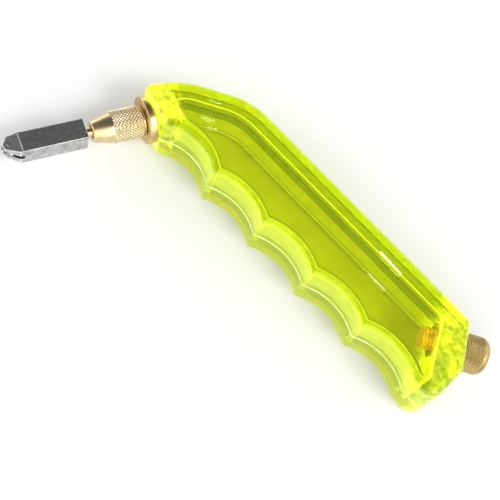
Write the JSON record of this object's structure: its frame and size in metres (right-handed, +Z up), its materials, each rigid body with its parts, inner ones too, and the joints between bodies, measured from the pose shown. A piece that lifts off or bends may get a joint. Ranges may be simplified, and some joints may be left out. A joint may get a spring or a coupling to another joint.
{
  "type": "glass cutter",
  "caption": "Pistol-grip oil-fed glass cutter with a clear hollow handle, brass nose and filler plug, and a swivelling steel head with a cutting wheel.",
  "frame": {"origin": "Middle of the tool's bounding box, on the surface that its flat side lies on.", "axes": "+X from the cutting wheel towards the filler plug, along the nose axis; +Y from the butt towards the nose and the back of the hand; +Z up, through the thickness of the handle."},
  "size_m": [0.113, 0.1126, 0.018],
  "materials": {
    "handle_plastic": "clear fluorescent yellow-green, polished",
    "brass": "machined and knurled",
    "steel": "sintered and ground, satin",
    "carbide": "ground carbide, semi-bright",
    "rubber": "matt",
    "cotton": "twisted cotton"
  },
  "bodies": {
    "handle": {"handle_near_shell": "handle_plastic", "handle_far_shell": "handle_plastic", "front_bush": "brass", "filler_bush": "brass"},
    "nose_collar": {"nose_collar": "brass", "collar_seal": "rubber"},
    "nose_sleeve": {"nose_sleeve": "brass", "sleeve_seal": "rubber", "valve_seat": "brass", "spring_washer": "steel", "return_spring": "steel"},
    "valve": {"valve_disc": "rubber", "valve_clip": "steel"},
    "head": {"spindle": "brass", "head_block": "steel", "wheel_axle": "steel", "oil_wick": "cotton"},
    "wheel": {"cutting_wheel": "carbide"},
    "plug_seal": {"plug_seal": "rubber"},
    "filler_plug": {"filler_plug": "brass"}
  },
  "joints": [
    {"name": "nose_draw", "type": "slide", "parent": "handle", "child": "nose_collar", "axis": [-1, 0, 0], "range_m": [0, 0.005]},
    {"name": "nose_unscrew", "type": "hinge", "parent": "nose_collar", "child": "nose_sleeve", "pos_m": [-0.01207, 0.04911, 0.009], "axis": [-1, 0, 0], "range_deg": [0, 1801]},
    {"name": "head_press", "type": "slide", "parent": "nose_sleeve", "child": "valve", "axis": [1, 0, 0], "range_m": [0, 0.001], "stiffness_N_per_m": 3000, "springref_m": -0.0005, "deforming": ["return_spring"]},
    {"name": "head_swivel", "type": "hinge", "parent": "valve", "child": "head", "pos_m": [-0.01207, 0.04911, 0.009], "axis": [1, 0, 0], "continuous": true},
    {"name": "wheel_spin", "type": "hinge", "parent": "head", "child": "wheel", "pos_m": [-0.05427, 0.04959, 0.009], "axis": [0, 0, 1], "continuous": true},
    {"name": "plug_draw", "type": "slide", "parent": "handle", "child": "plug_seal", "axis": [0.8042, -0.5943, 0], "range_m": [0, 0.008]},
    {"name": "plug_unscrew", "type": "hinge", "parent": "plug_seal", "child": "filler_plug", "pos_m": [0.04713, -0.04478, 0.009], "axis": [0.8042, -0.5943, 0], "range_deg": [0, 2881]}
  ],
  "couplings": [
    {"joint": "nose_unscrew", "follows": "nose_draw", "rad_per_m": 6283.2},
    {"joint": "plug_unscrew", "follows": "plug_draw", "rad_per_m": 6283.2}
  ]
}
